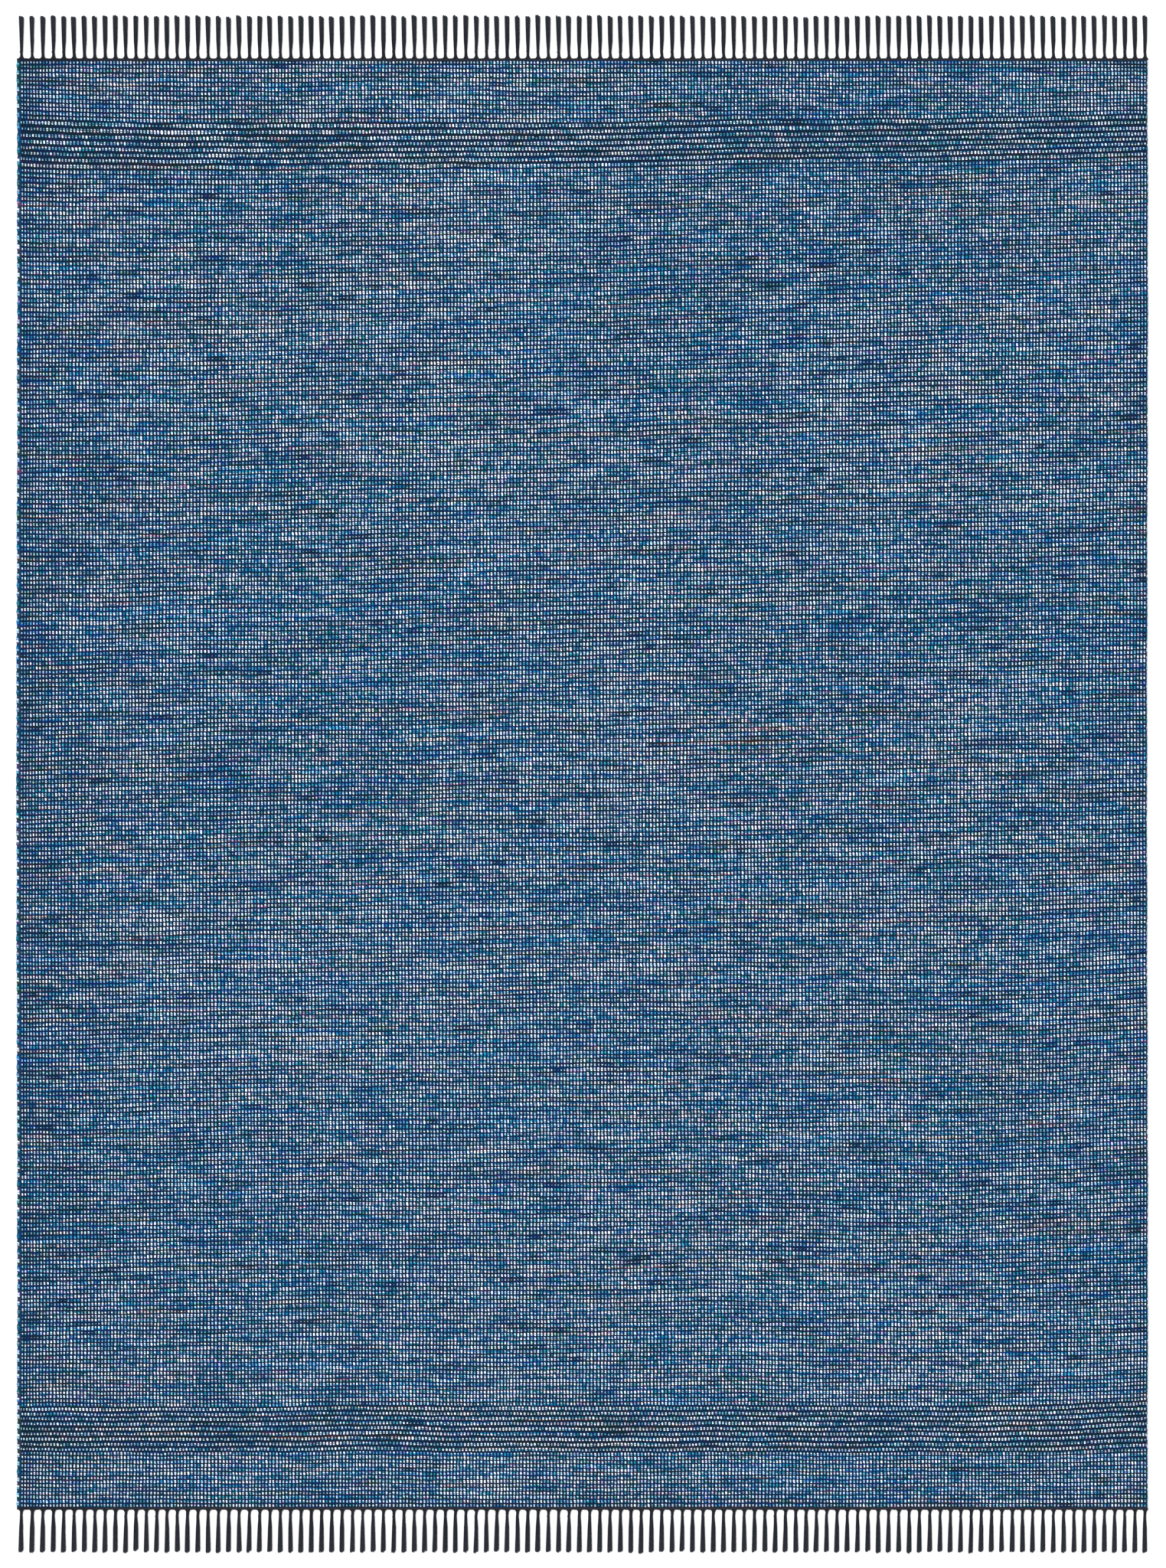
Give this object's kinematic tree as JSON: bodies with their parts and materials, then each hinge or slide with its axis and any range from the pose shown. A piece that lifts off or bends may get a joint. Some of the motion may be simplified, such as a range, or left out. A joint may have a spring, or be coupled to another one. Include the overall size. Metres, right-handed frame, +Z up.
{
  "type": "handwoven cotton rug",
  "caption": "Flat rectangular handwoven cotton rug in heathered blue, with a plain woven band near each end and a dark knotted fringe.",
  "frame": {"origin": "middle of the rug, on the floor that it lies on", "axes": "+Y along the rug's length towards the far fringe, +X along its width, +Z up out of its face"},
  "size_m": [2.4426, 3.3172, 0.005],
  "materials": {
    "blue_cotton": "matt flat weave of space-dyed cotton",
    "navy_cotton": "matt dark cotton yarn, lightly twisted"
  },
  "bodies": {
    "root": {"rug_cloth": "blue_cotton", "fringe_far": "navy_cotton", "fringe_near": "navy_cotton"}
  },
  "joints": []
}
